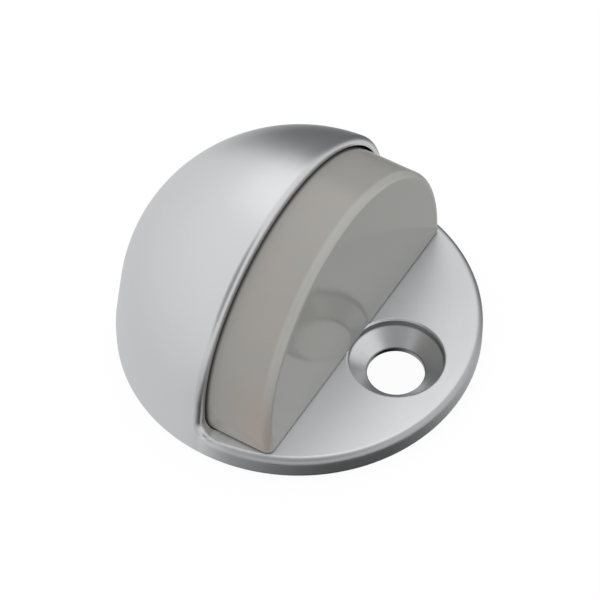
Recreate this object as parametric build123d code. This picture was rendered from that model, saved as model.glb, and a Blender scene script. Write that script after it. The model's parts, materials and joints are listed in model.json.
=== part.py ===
from build123d import *
from math import acos, atan2, cos, degrees, hypot, radians, sin
import os

# A floor door stop: a round cast base with a half dome, and a rubber bumper set in the dome's
# flat front. Millimetres. The origin is the centre of the base's underside, +Z is up, and the
# bumper faces -Y, towards the door.

# Base plate
base_diameter = 45.0
plate_thickness = 3.4
underside_edge_radius = 0.8

# Half dome: a straight flank, a shoulder arc and a crown arc, each tangent to the one before
overall_height = 26.5
dome_spring_height = 5.7
dome_join_deg = 42.0  # slope of the normal where the shoulder's arc meets the crown's
flank_flare = 0.65  # how far the plate stands out beyond the shoulder arc's widest place
flank_foot_height = 2.6
flank_foot_radius = 6.0

# Flat front of the dome
rim_plane_y = 0.5
rim_edge_radius = 0.8
rim_foot_radius = 2.0

# Pocket in the rim, where the bumper sits
rim_width = 1.1
pocket_depth = 3.0
pocket_corner_radius = 0.6

# Countersunk screw hole in the plate
screw_setback = 14.2
screw_hole_diameter = 7.1
screw_hole_land = 0.6
sink_diameter = 11.6
sink_wall_depth = 1.0
sink_edge_radius = 0.3

# Cored underside of the dome
dome_wall = 3.0
web_thickness = 3.0

# Bumper
bumper_clearance = 0.35
bumper_projection = 8.8
bumper_lean_deg = 3.2
bumper_face_radius = 1.0
bumper_foot_radius = 0.3

# Plug on the bumper's back, pulled through the web behind the pocket
plug_height = 13.0
plug_neck_diameter = 7.0
plug_neck_clearance = 0.15
plug_head_diameter = 10.0
plug_head_rim = 1.0
plug_head_length = 3.5
plug_tip_diameter = 6.0

# Places that several forms share
base_radius = base_diameter / 2
pocket_floor_y = rim_plane_y + pocket_depth
web_back_y = pocket_floor_y + web_thickness
bumper_front_y = rim_plane_y - bumper_projection
past = 1.0  # how far a cut runs past the face that it opens

# The dome's two arcs, and their centres: the shoulder's lies beside the axis, the crown's on it
dome_radius = base_radius - flank_flare
dome_rise = overall_height - dome_spring_height
dome_join = radians(dome_join_deg)
radius_step = (dome_rise - dome_radius) / (cos(dome_join) + sin(dome_join) - 1)
shoulder_radius = dome_radius + radius_step * cos(dome_join)
shoulder_reach = dome_radius - shoulder_radius
crown_radius = dome_rise - radius_step * sin(dome_join)
crown_height = overall_height - crown_radius


def dome_of_revolution(inset, bottom):
    """The plate and the dome as one turned form, or a like form that lies inside it."""
    foot_radius = base_radius - inset
    arc_radius = shoulder_radius - inset
    drop = dome_spring_height - flank_foot_height
    reach = foot_radius - shoulder_reach
    flank_deg = degrees(acos(arc_radius / hypot(reach, drop)) - atan2(drop, reach))
    shoulder_centre = (shoulder_reach, dome_spring_height)
    with BuildSketch(Plane.YZ) as half_section:
        with BuildLine():
            shoulder = CenterArc(shoulder_centre, arc_radius, flank_deg, dome_join_deg - flank_deg)
            CenterArc((0, crown_height), crown_radius - inset, dome_join_deg, 90 - dome_join_deg)
            Polyline(
                shoulder @ 0,
                (foot_radius, flank_foot_height),
                (foot_radius, bottom),
                (0, bottom),
                (0, overall_height - inset),
            )
        make_face()
        flank_foot = half_section.vertices().sort_by_distance((foot_radius, flank_foot_height))[0]
        fillet(flank_foot, flank_foot_radius)
    return revolve(half_section.sketch, Axis.Z)


def d_section(inset, corner_radius, y):
    """The D that pocket and bumper share: it follows the dome, and stands on the plate."""
    arc_radius = shoulder_radius - inset
    half_width = dome_radius - inset
    right_centre = (shoulder_reach, dome_spring_height)
    left_centre = (-shoulder_reach, dome_spring_height)
    with BuildSketch(Plane.XZ.offset(-y)) as section:
        with BuildLine():
            right = CenterArc(right_centre, arc_radius, 0, dome_join_deg)
            CenterArc((0, crown_height), crown_radius - inset, dome_join_deg, 180 - 2 * dome_join_deg)
            left = CenterArc(left_centre, arc_radius, 180 - dome_join_deg, dome_join_deg)
            Polyline(left @ 1, (-half_width, plate_thickness), (half_width, plate_thickness), right @ 0)
        make_face()
        if corner_radius > 0:
            fillet(section.vertices().group_by(Axis.Y)[0], corner_radius)
    return section.sketch


def space_before_rim():
    """What is cut away in front of the rim: its lower back edge is round, and leaves a hollow."""
    size = 2 * base_diameter
    space = Box(size, size, size, align=(Align.CENTER, Align.MAX, Align.MIN))
    lowest = space.edges().group_by(Axis.Z)[0]
    foot = lowest.sort_by(Axis.Y)[-1]
    return Pos(0, rim_plane_y, plate_thickness) * fillet(foot, rim_foot_radius)


def half_dome_on_plate():
    """The outside of the casting: the dome cut off at the rim plane, down to the plate's top."""
    form = dome_of_revolution(0, 0) - space_before_rim()

    # The rim's outer edge runs on round the plate's top edge as one smooth line.
    upper = form.edges().filter_by_position(Axis.Z, dome_spring_height, overall_height, (False, True))
    front = upper.filter_by_position(Axis.Y, -base_diameter, rim_plane_y + past)
    form = fillet(front.filter_by(GeomType.LINE, reverse=True), rim_edge_radius)
    underside = form.faces().sort_by(Axis.Z)[0]
    return fillet(underside.edges(), underside_edge_radius)


def core():
    """The hollow under the dome, which follows it a wall's thickness inside, behind the web."""
    hollow = dome_of_revolution(dome_wall, -past)
    return split(hollow, Plane.XZ.offset(-web_back_y), keep=Keep.BOTTOM)


def screw_hole():
    """A clearance hole, the cone that takes the screw's head, and a short wall at the top."""
    hole_radius = screw_hole_diameter / 2
    sink_radius = sink_diameter / 2
    mouth_radius = sink_radius + sink_edge_radius
    edge_centre = (mouth_radius, plate_thickness - sink_edge_radius)
    with BuildSketch(Plane.YZ) as half_section:
        with BuildLine():
            edge = CenterArc(edge_centre, sink_edge_radius, 90, 90)
            Polyline(
                edge @ 1,
                (sink_radius, plate_thickness - sink_wall_depth),
                (hole_radius, screw_hole_land),
                (hole_radius, -past),
                (0, -past),
                (0, plate_thickness + past),
                (mouth_radius, plate_thickness + past),
                edge @ 0,
            )
        make_face()
    return Pos(0, rim_plane_y - screw_setback, 0) * revolve(half_section.sketch, Axis.Z)


def make_casting():
    """The metal casting: plate, half dome, pocket, web with the plug's hole, core, screw hole."""
    pocket_outline = d_section(rim_width, pocket_corner_radius, pocket_floor_y)
    pocket = extrude(pocket_outline, pocket_depth + rim_foot_radius + past)
    plug_hole_radius = plug_neck_diameter / 2 + plug_neck_clearance
    plug_hole = Cylinder(plug_hole_radius, web_thickness + 2 * past, rotation=(90, 0, 0))
    plug_hole = Pos(0, pocket_floor_y + web_thickness / 2, plug_height) * plug_hole
    return half_dome_on_plate() - pocket - core() - plug_hole - screw_hole()


def plug():
    """A round neck through the web and a tapered head behind it, turned about the Y axis."""
    neck_radius = plug_neck_diameter / 2
    head_radius = plug_head_diameter / 2
    tip_radius = plug_tip_diameter / 2
    with BuildSketch(Plane.XY) as half_section:
        Polygon(
            (0, pocket_floor_y - past),
            (neck_radius, pocket_floor_y - past),
            (neck_radius, web_back_y),
            (head_radius, web_back_y),
            (head_radius, web_back_y + plug_head_rim),
            (tip_radius, web_back_y + plug_head_length),
            (0, web_back_y + plug_head_length),
            align=None,
        )
    return Pos(0, 0, plug_height) * revolve(half_section.sketch, Axis.Y)


def make_bumper():
    """The rubber moulding: a D-shaped block with a soft front edge, and the plug on its back."""
    outline = d_section(rim_width + bumper_clearance, 0, pocket_floor_y)
    block = extrude(outline, pocket_depth + bumper_projection + past)

    # The front face leans back from its foot, so that the door meets it low down.
    lean = radians(bumper_lean_deg)
    front = Plane(origin=(0, bumper_front_y, plate_thickness), z_dir=(0, -cos(lean), sin(lean)))
    block = split(block, front, keep=Keep.BOTTOM)
    face = block.faces().sort_by(Axis.Y)[0]
    arch = face.edges().sort_by(Axis.Z)[1:]
    block = fillet(arch, bumper_face_radius)
    sole = block.faces().sort_by(Axis.Z)[0]
    back_edge = sole.edges().sort_by(Axis.Y)[-1]
    block = fillet([edge for edge in sole.edges() if edge != back_edge], bumper_foot_radius)
    return block + plug()


pieces = {"dome_casting": make_casting(), "rubber_bumper": make_bumper()}
os.makedirs("parts", exist_ok=True)
for name, piece in pieces.items():
    piece.label = name
    export_step(piece, f"parts/{name}.step")
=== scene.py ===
"""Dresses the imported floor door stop: a satin plated dome on a plate, and a rubber bumper."""

import json
import logging
from dataclasses import dataclass, field
from math import cos, radians, sin, tan
from typing import Union

import bpy
from mathutils import Matrix, Vector

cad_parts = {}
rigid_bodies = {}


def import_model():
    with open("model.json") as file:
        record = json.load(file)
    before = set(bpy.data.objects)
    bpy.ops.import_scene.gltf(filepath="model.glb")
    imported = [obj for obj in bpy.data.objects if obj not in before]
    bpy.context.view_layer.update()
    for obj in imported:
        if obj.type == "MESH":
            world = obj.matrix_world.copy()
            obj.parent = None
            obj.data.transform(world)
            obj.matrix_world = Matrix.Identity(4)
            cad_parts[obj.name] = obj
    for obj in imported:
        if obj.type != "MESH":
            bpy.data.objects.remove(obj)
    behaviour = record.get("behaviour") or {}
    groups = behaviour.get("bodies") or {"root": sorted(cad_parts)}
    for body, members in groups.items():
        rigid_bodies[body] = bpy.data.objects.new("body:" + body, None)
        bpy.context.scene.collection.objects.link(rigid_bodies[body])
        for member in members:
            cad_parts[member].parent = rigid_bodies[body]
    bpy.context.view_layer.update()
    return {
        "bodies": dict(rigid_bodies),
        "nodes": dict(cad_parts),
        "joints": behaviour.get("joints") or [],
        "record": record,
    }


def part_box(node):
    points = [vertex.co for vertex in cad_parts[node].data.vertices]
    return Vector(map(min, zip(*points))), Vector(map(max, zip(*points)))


logging.basicConfig(level=logging.INFO, format="%(message)s")
log = logging.getLogger("door_stop")

MM = 0.001
PICTURE_SIDE = 600  # pixels, both ways

Rgb = tuple[float, float, float]
Span = tuple[float, float]  # where a soft step starts and ends, from the edge that it follows
Value = Union["Wire", bpy.types.NodeSocket, float, int, tuple]


class Wire:
    """A node's output that takes part in Python sums; each sum adds one Math node."""

    def __init__(self, nodes: "NodeTree", socket: bpy.types.NodeSocket) -> None:
        """Keeps the socket and the tree that it belongs to.

        Args:
            nodes: The tree that new Math nodes go into.
            socket: The output that this wire stands for.
        """
        self.nodes = nodes
        self.socket = socket

    def _math(self, operation: str, first: Value, second: Value = 0.0) -> "Wire":
        """One Math node on two values."""
        return self.nodes.add("ShaderNodeMath", {"operation": operation}, {0: first, 1: second})

    def __add__(self, other: Value) -> "Wire":
        """Sum."""
        return self._math("ADD", self, other)

    def __radd__(self, other: Value) -> "Wire":
        """Sum, with the number first."""
        return self._math("ADD", other, self)

    def __sub__(self, other: Value) -> "Wire":
        """Difference."""
        return self._math("SUBTRACT", self, other)

    def __rsub__(self, other: Value) -> "Wire":
        """Difference, with the number first."""
        return self._math("SUBTRACT", other, self)

    def __mul__(self, other: Value) -> "Wire":
        """Product."""
        return self._math("MULTIPLY", self, other)

    def __rmul__(self, other: Value) -> "Wire":
        """Product, with the number first."""
        return self._math("MULTIPLY", other, self)

    def __truediv__(self, other: Value) -> "Wire":
        """Quotient."""
        return self._math("DIVIDE", self, other)

    def __rtruediv__(self, other: Value) -> "Wire":
        """Quotient, with the number first."""
        return self._math("DIVIDE", other, self)

    def root(self) -> "Wire":
        """Square root."""
        return self._math("SQRT", self)

    def at_least(self, other: Value) -> "Wire":
        """The larger of two values."""
        return self._math("MAXIMUM", self, other)

    def band(self, low: float, high: float) -> "Wire":
        """A smooth step from 0 at low to 1 at high.

        Args:
            low: Value where the step starts.
            high: Value where it ends, which may lie below low.

        Returns:
            The step, from 0 to 1.
        """
        settings = {"interpolation_type": "SMOOTHSTEP"}
        if low < high:
            return self.nodes.add("ShaderNodeMapRange", settings, {0: self, 1: low, 2: high})
        return 1.0 - self.nodes.add("ShaderNodeMapRange", settings, {0: self, 1: high, 2: low})

    def near(self, edge: float, span: Span) -> "Wire":
        """A smooth step by an edge, from 0 where the span starts to 1 where it ends."""
        return self.band(edge + span[0], edge + span[1])


class NodeTree:
    """Builds a shader's nodes from their types, settings and inputs."""

    def __init__(self, tree: bpy.types.NodeTree) -> None:
        """Empties the tree.

        Args:
            tree: A material's or the world's node tree.
        """
        self.tree = tree
        self.tree.nodes.clear()

    def add(self, kind: str, settings: dict, inputs: dict, output: Union[int, str] = 0) -> Wire:
        """Adds one node.

        Args:
            kind: The node's type.
            settings: Its own settings, set before its sockets.
            inputs: Values, or wires to link, by socket name or number.
            output: The output that is wanted.

        Returns:
            That output as a wire.
        """
        node = self.tree.nodes.new(kind)
        for name, value in settings.items():
            setattr(node, name, value)
        for name, value in inputs.items():
            self._feed(node.inputs[name], value)
        return Wire(self, node.outputs[output])

    def end(self, kind: str, shader: Wire) -> None:
        """Adds the tree's output node and links the shader to it."""
        self._feed(self.tree.nodes.new(kind).inputs[0], shader)

    def _feed(self, socket: bpy.types.NodeSocket, value: Value) -> None:
        """Links a wire to a socket, or sets the socket to a value.

        Args:
            socket: The input to feed.
            value: A wire, a number, a vector or a colour.
        """
        if isinstance(value, Wire):
            self.tree.links.new(value.socket, socket)
        else:
            socket.default_value = value

    def place(self, coordinates: str) -> tuple[Wire, Wire, Wire, Wire]:
        """Where the shader is read.

        Args:
            coordinates: Output of the Texture Coordinate node, such as Object.

        Returns:
            The point as a vector, then its X, Y and Z.
        """
        point = self.add("ShaderNodeTexCoord", {}, {}, coordinates)
        x, y, z = (self.add("ShaderNodeSeparateXYZ", {}, {0: point}, axis) for axis in "XYZ")
        return point, x, y, z

    def noise(self, point: Value, size: float, detail: float, roughness: float) -> Wire:
        """A noise texture's value.

        Args:
            point: Where it is read.
            size: Length of a wave, in metres.
            detail: Octaves.
            roughness: Strength of each octave against the one before.

        Returns:
            A value from 0 to 1, about 0.5 on the whole.
        """
        inputs = {"Vector": point, "Scale": 1 / size, "Detail": detail, "Roughness": roughness}
        return self.add("ShaderNodeTexNoise", {}, inputs, 0)

    def marks(self, x: Wire, y: Wire, z: Wire, pitch: float, length: float, detail: float) -> Wire:
        """The marks that turning against a brush leaves round an upright axis.

        Args:
            x: Distance from the axis along X.
            y: Distance from the axis along Y.
            z: Height.
            pitch: Distance from one mark to the next, in metres.
            length: Length of a mark, as a share of its distance from the axis.
            detail: Octaves.

        Returns:
            A value from 0 to 1, about 0.5 on the whole.
        """
        reach = (x * x + y * y).root()
        turned = self.join(x / (reach * length), y / (reach * length), z / pitch)
        inputs = {"Vector": turned, "W": reach / pitch, "Scale": 1.0, "Detail": detail}
        return self.add("ShaderNodeTexNoise", {"noise_dimensions": "4D"}, inputs, 0)

    def blend(self, share: Value, first: Value, second: Value) -> Wire:
        """A colour between two others.

        Args:
            share: 0 for the first, 1 for the second.
            first: A colour.
            second: A colour.

        Returns:
            The mixed colour.
        """
        return self.add("ShaderNodeMix", {"data_type": "RGBA"}, {0: share, 6: first, 7: second}, 2)

    def join(self, x: Value, y: Value, z: Value) -> Wire:
        """A vector from three values."""
        return self.add("ShaderNodeCombineXYZ", {}, {0: x, 1: y, 2: z})

    def bump(self, relief: Wire) -> Wire:
        """A normal from a height in metres."""
        return self.add("ShaderNodeBump", {}, {"Strength": 1.0, "Distance": 1.0, "Height": relief})


def rgba(colour: Rgb, share: float = 1.0) -> tuple[float, float, float, float]:
    """A colour made lighter or darker, with full alpha."""
    return (*(channel * share for channel in colour), 1.0)


def tinted(colour: Rgb, shares: Rgb) -> Rgb:
    """A colour whose red, green and blue are each made stronger or weaker."""
    return tuple(channel * share for channel, share in zip(colour, shares))


def new_material(name: str) -> tuple[bpy.types.Material, NodeTree]:
    """Makes a material.

    Args:
        name: The material's name.

    Returns:
        The material, and its empty node tree.
    """
    material = bpy.data.materials.new(name)
    material.use_nodes = True
    return material, NodeTree(material.node_tree)


@dataclass(frozen=True)
class CastingAreas:
    """The areas of the casting whose finish differs, several of them by painted shade and sheen,
    each a wire from 0 outside to 1 inside.
    """

    in_sink: Wire
    sink_wall: Wire
    plate_edge: Wire
    plate_face: Wire
    pocket: Wire
    as_cast: Wire


@dataclass(frozen=True)
class DomeForm:
    """The sizes of the casting that its finish, painted shade and painted sheen follow, in metres.
    """

    base_radius: float
    height: float
    plate_overhang: float = 0.65 * MM
    plate_top: float = 3.4 * MM
    spring: float = 5.7 * MM
    rim_plane: float = 0.5 * MM
    pocket_end: float = 3.5 * MM
    web_back: float = 6.5 * MM
    sink_radius: float = 5.9 * MM
    hole_radius: float = 3.55 * MM
    hole_y: float = -13.7 * MM

    # Soft steps, in the order of the edges that areas() follows
    sink_mouth: Span = (0.1 * MM, 0.0)
    sink_top: Span = (-0.15 * MM, -0.3 * MM)
    sink_side: Span = (-0.3 * MM, -0.1 * MM)
    hole_land: Span = (0.15 * MM, 0.05 * MM)
    edge_inside: Span = (-0.75 * MM, -0.45 * MM)
    edge_top: Span = (0.1 * MM, -0.05 * MM)
    edge_back: Span = (2.0 * MM, -5.0 * MM)
    plate_skin: Span = (0.3 * MM, 0.1 * MM)
    plate_back: Span = (0.3 * MM, -0.3 * MM)
    dome_skin: Span = (-0.5 * MM, -0.6 * MM)
    rim_skin: Span = (0.05 * MM, 0.15 * MM)
    sole: Span = (0.03 * MM, 0.01 * MM)

    @property
    def radius(self) -> float:
        """The dome's own radius."""
        return self.base_radius - self.plate_overhang

    def areas(self, x: Wire, y: Wire, z: Wire) -> CastingAreas:
        """Tells the areas of the casting apart.

        Args:
            x: The point's X.
            y: The point's Y.
            z: The point's Z.

        Returns:
            The areas.
        """
        from_axis = (x * x + y * y).root()
        hole_y = y - self.hole_y
        from_hole = (x * x + hole_y * hole_y).root()

        # The countersink's upright wall, and the short wall of the hole below its cone, both
        # darkened as painted shade
        in_sink = from_hole.near(self.sink_radius, self.sink_mouth)
        sink_wall = in_sink * z.near(self.plate_top, self.sink_top)
        sink_wall = sink_wall * from_hole.near(self.sink_radius, self.sink_side)
        sink_wall = sink_wall.at_least(from_hole.near(self.hole_radius, self.hole_land))

        # The plate's upright edge, darkened as painted shade, fades out behind the rim, where plate
        # and dome are one surface.
        plate_edge = from_axis.near(self.base_radius, self.edge_inside)
        plate_edge = plate_edge * z.near(self.plate_top, self.edge_top)
        plate_edge = plate_edge * y.near(self.rim_plane, self.edge_back)
        plate_face = z.near(self.plate_top, self.plate_skin) * (1.0 - in_sink)
        plate_face = plate_face * y.near(self.rim_plane, self.plate_back)

        # Behind the rim, what lies deeper than the dome's skin is the pocket, painted near black as
        # shade, or the cored inside.
        stretch = self.radius / (self.height - self.spring)
        above = (z - self.spring).at_least(0.0) * stretch
        from_middle = (x * x + y * y + above * above).root()
        hidden = from_middle.near(self.radius, self.dome_skin)
        hidden = hidden * y.near(self.rim_plane, self.rim_skin)
        pocket = hidden * y.band(self.web_back, self.pocket_end)
        as_cast = hidden.at_least(z.near(0.0, self.sole))
        return CastingAreas(in_sink, sink_wall, plate_edge, plate_face, pocket, as_cast)


@dataclass(frozen=True)
class SatinPlating:
    """Satin chrome plating on a casting that was turned against a brush."""

    colour: Rgb = (0.715, 0.725, 0.738)
    patch_shares: tuple[float, float] = (0.985, 1.012)  # the darkest and the brightest
    # Painted sheen: the plate's top is painted lighter towards -X and darker towards +X, for the
    # spread of reflections on turned metal
    plate_sheen_shares: tuple[float, float] = (1.23, 0.92)  # the plate's top, at -X and at +X
    # Painted shade: the plate's upright edge is darkened to this share of the colour
    edge_light_and_shade_share: float = 0.72
    # Painted shade: the countersink's wall and the hole's wall are darkened to this share
    sink_shade_share: float = 0.4
    # Painted shade: the pocket behind the rim is painted near black
    pocket_shade_colour: Rgb = (0.03, 0.03, 0.03)
    cast_colour: Rgb = (0.47, 0.475, 0.48)
    roughness: float = 0.3
    plate_roughness: float = 0.45
    cast_roughness: float = 0.55
    fine_pitch: float = 0.08 * MM
    fine_dulling: float = 0.06
    coarse_pitch: float = 0.28 * MM
    coarse_dulling: float = 0.05
    coarse_weight: float = 2.0  # depth of the coarse marks, against the fine ones
    mark_depth: float = 0.00015 * MM
    mark_length: float = 0.8
    sink_mark_length: float = 2.4
    mark_detail: float = 3.0
    patch_size: float = 5.0 * MM
    patch_dulling: float = 0.06
    pit_size: float = 0.35 * MM
    pit_depth: float = 0.05 * MM

    def material(self, form: DomeForm) -> bpy.types.Material:
        """Builds the plating's material.

        Args:
            form: The casting's sizes.

        Returns:
            The material.
        """
        material, nodes = new_material("satin_plating")
        point, x, y, z = nodes.place("Object")
        areas = form.areas(x, y, z)
        from_dome, from_hole = (x, y, z), (x, y - form.hole_y, z)
        fine = self._marks(nodes, from_dome, from_hole, areas.in_sink, self.fine_pitch)
        coarse = self._marks(nodes, from_dome, from_hole, areas.in_sink, self.coarse_pitch)
        patches = nodes.noise(point, self.patch_size, detail=3.0, roughness=0.55)
        pits = nodes.noise(point, self.pit_size, detail=4.0, roughness=0.65)

        dark, bright = (rgba(self.colour, share) for share in self.patch_shares)
        # Painted sheen across the plate's top, lighter at -X and darker at +X
        left, right = (rgba(self.colour, share) for share in self.plate_sheen_shares)
        painted_plate_sheen = nodes.blend(x.band(-form.radius, form.radius), left, right)
        colour = nodes.blend(areas.plate_face, nodes.blend(patches, dark, bright), painted_plate_sheen)
        # Painted shade on the plate's upright edge
        colour = nodes.blend(areas.plate_edge, colour, rgba(self.colour, self.edge_light_and_shade_share))
        # Painted shade in the countersink and the hole
        colour = nodes.blend(areas.sink_wall, colour, rgba(self.colour, self.sink_shade_share))
        colour = nodes.blend(areas.as_cast, colour, rgba(self.cast_colour))
        # Painted shade in the pocket behind the rim
        colour = nodes.blend(areas.pocket, colour, rgba(self.pocket_shade_colour))

        rough = self.roughness + (fine - 0.5) * self.fine_dulling
        rough = rough + (coarse - 0.5) * self.coarse_dulling
        rough = rough + (patches - 0.5) * self.patch_dulling
        rough = rough + areas.plate_face * (self.plate_roughness - self.roughness)
        rough = rough + areas.as_cast * (self.cast_roughness - self.roughness)
        relief = (fine + coarse * self.coarse_weight) * self.mark_depth
        bump = nodes.bump(relief + areas.as_cast * pits * self.pit_depth)
        surface = {"Base Color": colour, "Metallic": 1.0, "Roughness": rough, "Normal": bump}
        shader = nodes.add("ShaderNodeBsdfPrincipled", {}, surface)
        nodes.end("ShaderNodeOutputMaterial", shader)
        return material

    def _marks(
        self, nodes: NodeTree, from_dome: tuple, from_hole: tuple, in_sink: Wire, pitch: float
    ) -> Wire:
        """Brush marks round the dome's axis, and round the screw hole's in its countersink.

        Args:
            nodes: The material's node tree.
            from_dome: The point, measured from the dome's axis.
            from_hole: The point, measured from the screw hole's axis.
            in_sink: 1 in the countersink.
            pitch: Distance from one mark to the next, in metres.

        Returns:
            A value from 0 to 1, about 0.5 on the whole.
        """
        round_dome = nodes.marks(*from_dome, pitch, self.mark_length, self.mark_detail)
        round_hole = nodes.marks(*from_hole, pitch, self.sink_mark_length, self.mark_detail)
        return round_dome + in_sink * (round_hole - round_dome)


@dataclass(frozen=True)
class BumperAreas:
    """The areas of the bumper whose colour differs, one by a tint and the rest by painted shade and
    highlight, each a wire from 0 outside to 1 inside.
    """

    face: Wire
    edge: Wire
    aged: Wire
    painted_foot_shadow: Wire
    painted_slot_shade: Wire


@dataclass(frozen=True)
class BumperForm:
    """The sizes of the bumper that its tint, painted shade and painted highlight follow, in metres.
    """

    front: float
    foot: float
    lean: float = tan(radians(3.2))
    edge_radius: float = 1.0 * MM

    # Soft steps, in the order of the edges that areas() follows
    face_skin: Span = (0.12 * MM, 0.02 * MM)
    edge_end: Span = (0.3 * MM, -0.3 * MM)
    edge_height: Span = (3.0 * MM, 17.0 * MM)
    aged_depth: Span = (6.0 * MM, 1.5 * MM)
    aged_height: Span = (15.0 * MM, 6.0 * MM)
    foot_height: Span = (0.4 * MM, 0.15 * MM)
    slot_entry: Span = (0.0, 0.6 * MM)

    def areas(self, y: Wire, z: Wire) -> BumperAreas:
        """Tells the areas of the bumper apart.

        Args:
            y: The point's Y.
            z: The point's Z.

        Returns:
            The areas.
        """
        depth = y - self.front - (z - self.foot) * self.lean
        # The face takes painted shade
        face = depth.near(0.0, self.face_skin)
        # The soft edge round the face takes a painted highlight, growing towards the top
        edge = (1.0 - face) * depth.near(self.edge_radius, self.edge_end)
        edge = edge * z.near(self.foot, self.edge_height)
        aged = depth.near(0.0, self.aged_depth) * z.near(self.foot, self.aged_height)
        # Painted shadow along the foot
        painted_foot_shadow = z.near(self.foot, self.foot_height)
        # Painted shade where the rubber enters the slot behind the rim
        return BumperAreas(face, edge, aged, painted_foot_shadow, painted_slot_shade=y.near(0.0, self.slot_entry))


@dataclass(frozen=True)
class MouldedRubber:
    """Grey moulded rubber with a semi-gloss skin."""

    colour: Rgb = (0.43, 0.428, 0.405)
    cloud_tint: Rgb = (1.05, 0.99, 0.97)
    aged_tint: Rgb = (1.13, 1.0, 0.95)
    # Painted shade: the front face is darkened to this share
    face_shade_share: float = 0.86
    # Painted highlight: the soft edge round the face is lightened to this share
    edge_light_and_shade_share: float = 1.25
    # Painted shadow: a dark line along the foot, where it meets the plate
    foot_shadow_share: float = 0.45
    # Painted shade: the rubber is darkened where it enters the slot behind the rim
    slot_shade_share: float = 0.3
    index: float = 1.5
    roughness: float = 0.12
    cloud_size: float = 7.0 * MM
    cloud_step: Span = (0.35, 0.7)
    cloud_dulling: float = 0.08
    grain_size: float = 0.25 * MM
    grain_depth: float = 0.0012 * MM
    grain_dulling: float = 0.1

    def material(self, form: BumperForm) -> bpy.types.Material:
        """Builds the rubber's material.

        Args:
            form: The bumper's sizes.

        Returns:
            The material.
        """
        material, nodes = new_material("moulded_rubber")
        point, _, y, z = nodes.place("Object")
        areas = form.areas(y, z)
        clouds = nodes.noise(point, self.cloud_size, detail=3.0, roughness=0.55)
        grain = nodes.noise(point, self.grain_size, detail=3.0, roughness=0.6)

        # Painted shade darkens the face, and a painted highlight makes the soft edge round it
        # paler, most of all at the top.
        warm, aged = (rgba(tinted(self.colour, tint)) for tint in (self.cloud_tint, self.aged_tint))
        colour = nodes.blend(clouds.band(*self.cloud_step), rgba(self.colour), warm)
        colour = nodes.blend(areas.aged, colour, aged)
        # Painted shade on the front face
        colour = nodes.blend(areas.face, colour, rgba(self.colour, self.face_shade_share))
        # Painted highlight on the soft edge round the face
        colour = nodes.blend(areas.edge, colour, rgba(self.colour, self.edge_light_and_shade_share))
        # Painted shadow along the foot
        colour = nodes.blend(areas.painted_foot_shadow, colour, rgba(self.colour, self.foot_shadow_share))
        # Painted shade where the rubber enters the slot
        colour = nodes.blend(areas.painted_slot_shade, colour, rgba(self.colour, self.slot_shade_share))

        rough = self.roughness + (grain - 0.5) * self.grain_dulling
        rough = rough + (clouds - 0.5) * self.cloud_dulling
        bump = nodes.bump(grain * self.grain_depth)
        surface = {"Base Color": colour, "Roughness": rough, "IOR": self.index, "Normal": bump}
        shader = nodes.add("ShaderNodeBsdfPrincipled", {}, surface)
        nodes.end("ShaderNodeOutputMaterial", shader)
        return material


@dataclass
class DomeCasting:
    """The metal casting: base plate, half dome, pocket, web and screw hole, all from the frame."""

    node: str = "dome_casting"
    finish: SatinPlating = field(default_factory=SatinPlating)

    def dress(self, frame: dict) -> bpy.types.Object:
        """Gives the casting its plating.


        Returns:
            The casting.
        """
        piece = frame["nodes"][self.node]
        low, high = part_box(self.node)
        form = DomeForm(base_radius=(high.x - low.x) / 2, height=high.z)
        piece.data.materials.clear()
        piece.data.materials.append(self.finish.material(form))
        return piece


@dataclass
class RubberBumper:
    """The D-shaped rubber moulding in the casting's pocket."""

    node: str = "rubber_bumper"
    finish: MouldedRubber = field(default_factory=MouldedRubber)

    def dress(self, frame: dict) -> bpy.types.Object:
        """Gives the bumper its rubber.


        Returns:
            The bumper.
        """
        piece = frame["nodes"][self.node]
        low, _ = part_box(self.node)
        form = BumperForm(front=low.y, foot=low.z)
        piece.data.materials.clear()
        piece.data.materials.append(self.finish.material(form))
        return piece


@dataclass(frozen=True)
class RoundPlace:
    """A round place in the room that is brighter or dimmer than what lies round it."""

    azimuth: float  # degrees, 0 towards -Y and 90 towards +X
    elevation: float  # degrees above the horizon
    core: float  # degrees from its middle within which it has its full strength
    edge: float  # degrees from its middle where it ends
    gain: float  # what it adds to the room's level, as a share of that

    def share(self, x: Wire, y: Wire, z: Wire) -> Wire:
        """What the room's level is multiplied by.

        Args:
            x: The direction's X.
            y: The direction's Y.
            z: The direction's Z.

        Returns:
            1 outside the place, and 1 + gain in its core.
        """
        azimuth, elevation = radians(self.azimuth), radians(self.elevation)
        towards = x * (sin(azimuth) * cos(elevation))
        towards = towards + y * (-cos(azimuth) * cos(elevation)) + z * sin(elevation)
        return 1.0 + self.gain * towards.band(cos(radians(self.edge)), cos(radians(self.core)))


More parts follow.
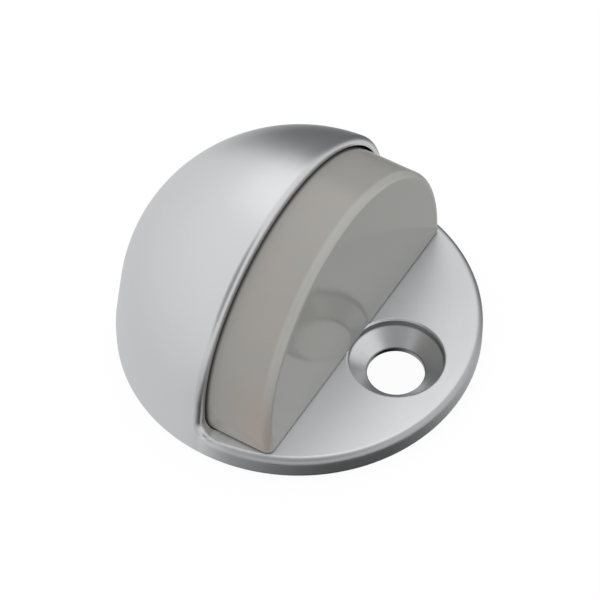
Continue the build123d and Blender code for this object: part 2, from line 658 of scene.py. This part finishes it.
@dataclass
class Studio:
    """A pale floor, soft light all round, and the camera."""

    floor_side: float = 3.0
    floor_gap: float = 0.02 * MM
    floor_colour: Rgb = (0.1, 0.1, 0.1)
    floor_glow: float = 0.93
    low_level: float = 0.7
    high_level: float = 0.9
    camera_gear: RoundPlace = RoundPlace(-58.0, 48.0, core=18.0, edge=40.0, gain=-0.62)
    tripod: RoundPlace = RoundPlace(-84.0, -30.0, core=14.0, edge=38.0, gain=-0.2)
    dark_panel: RoundPlace = RoundPlace(97.0, -5.0, core=26.0, edge=46.0, gain=-0.79)
    dark_table: RoundPlace = RoundPlace(-25.0, -61.0, core=15.0, edge=50.0, gain=-1.0)
    ceiling_lamp: RoundPlace = RoundPlace(125.0, 50.0, core=8.0, edge=34.0, gain=0.25)
    camera_distance: float = 369.695 * MM
    camera_azimuth: float = -58.46
    camera_elevation: float = 52.12
    camera_roll: float = -0.56
    camera_near: float = 10.0 * MM
    sensor_width: float = 36.0
    focal_pixels: float = 3000.0
    origin_pixel: tuple[float, float] = (299.49, 328.71)

    def lay_floor(self) -> bpy.types.Object:
        """Lays the floor just under the stop. It neither lights the stop nor shows in it.

        Returns:
            The floor.
        """
        bpy.ops.object.select_all(action="DESELECT")
        place = (0.0, 0.0, -self.floor_gap)
        bpy.ops.mesh.primitive_plane_add(size=self.floor_side, location=place)
        floor = bpy.context.active_object
        floor.name = "floor"
        material, nodes = new_material("pale_floor")
        surface = {
            "Base Color": rgba(self.floor_colour),
            "Roughness": 1.0,
            "Specular IOR Level": 0.0,
            "Emission Color": rgba((1.0, 1.0, 1.0)),
            "Emission Strength": self.floor_glow,
        }
        shader = nodes.add("ShaderNodeBsdfPrincipled", {}, surface)
        nodes.end("ShaderNodeOutputMaterial", shader)
        floor.data.materials.append(material)
        floor.visible_glossy = False
        floor.visible_diffuse = False
        return floor

    def light_room(self) -> None:
        """Fills the room with soft light that grows upwards, and with its dim and bright places."""
        world = bpy.data.worlds.new("studio")
        bpy.context.scene.world = world
        world.use_nodes = True
        nodes = NodeTree(world.node_tree)
        _, x, y, z = nodes.place("Generated")
        level = self.low_level + z.band(-1.0, 1.0) * (self.high_level - self.low_level)
        dim = (self.camera_gear, self.tripod, self.dark_panel, self.dark_table)
        for place in (*dim, self.ceiling_lamp):
            level = level * place.share(x, y, z)
        glow = {"Color": rgba((1.0, 1.0, 1.0)), "Strength": level}
        nodes.end("ShaderNodeOutputWorld", nodes.add("ShaderNodeBackground", {}, glow))

    def set_camera(self) -> bpy.types.Object:
        """Puts the camera where the photograph was taken from.

        Returns:
            The camera.
        """
        azimuth, elevation = radians(self.camera_azimuth), radians(self.camera_elevation)
        roll = radians(self.camera_roll)
        east, south = sin(azimuth) * cos(elevation), cos(azimuth) * cos(elevation)
        back = Vector((east, -south, sin(elevation)))
        level = Vector((cos(azimuth), sin(azimuth), 0.0))
        upright = back.cross(level)
        right = cos(roll) * level + sin(roll) * upright
        up = -sin(roll) * level + cos(roll) * upright

        data = bpy.data.cameras.new("camera")
        camera = bpy.data.objects.new("camera", data)
        bpy.context.scene.collection.objects.link(camera)
        data.sensor_width = self.sensor_width
        data.lens = self.focal_pixels / PICTURE_SIDE * self.sensor_width
        data.shift_x = 0.5 - self.origin_pixel[0] / PICTURE_SIDE
        data.shift_y = self.origin_pixel[1] / PICTURE_SIDE - 0.5
        data.clip_start = self.camera_near
        turn = Matrix((right, up, back)).transposed()
        camera.matrix_world = Matrix.Translation(back * self.camera_distance) @ turn.to_4x4()
        bpy.context.scene.camera = camera
        return camera

    def set_up(self) -> None:
        """Lays the floor, lights the room and sets the camera."""
        self.lay_floor()
        self.light_room()
        self.set_camera()
        bpy.context.scene.view_settings.view_transform = "Standard"


def main() -> None:
    """Dresses both pieces and sets up the studio."""
    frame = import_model()
    for part in (DomeCasting(), RubberBumper()):
        piece = part.dress(frame)
        log.info("%s: %s", piece.name, type(part).__name__)
    Studio().set_up()


if __name__ == "__main__":
    main()
